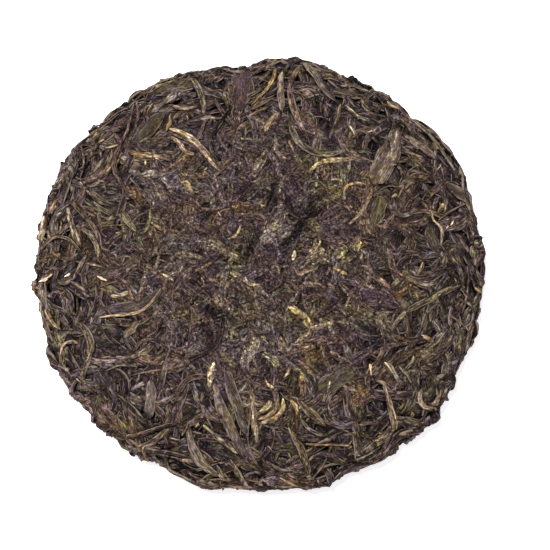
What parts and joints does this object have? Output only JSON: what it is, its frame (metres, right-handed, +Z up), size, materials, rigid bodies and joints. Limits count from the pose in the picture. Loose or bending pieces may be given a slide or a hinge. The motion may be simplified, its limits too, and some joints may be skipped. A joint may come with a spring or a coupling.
{
  "type": "pu-erh tea cake",
  "caption": "Round domed cake of pressed raw tea leaves, with a dimple in its flat underside.",
  "frame": {"origin": "middle of the base, on the surface that the cake lies on", "axes": "+Z up through the domed face; +Y away from the picture's camera, +X to the picture's right"},
  "size_m": [0.1994, 0.2006, 0.0262],
  "materials": {
    "pressed_tea": null
  },
  "bodies": {
    "root": {"tea_cake": "pressed_tea"}
  },
  "joints": []
}
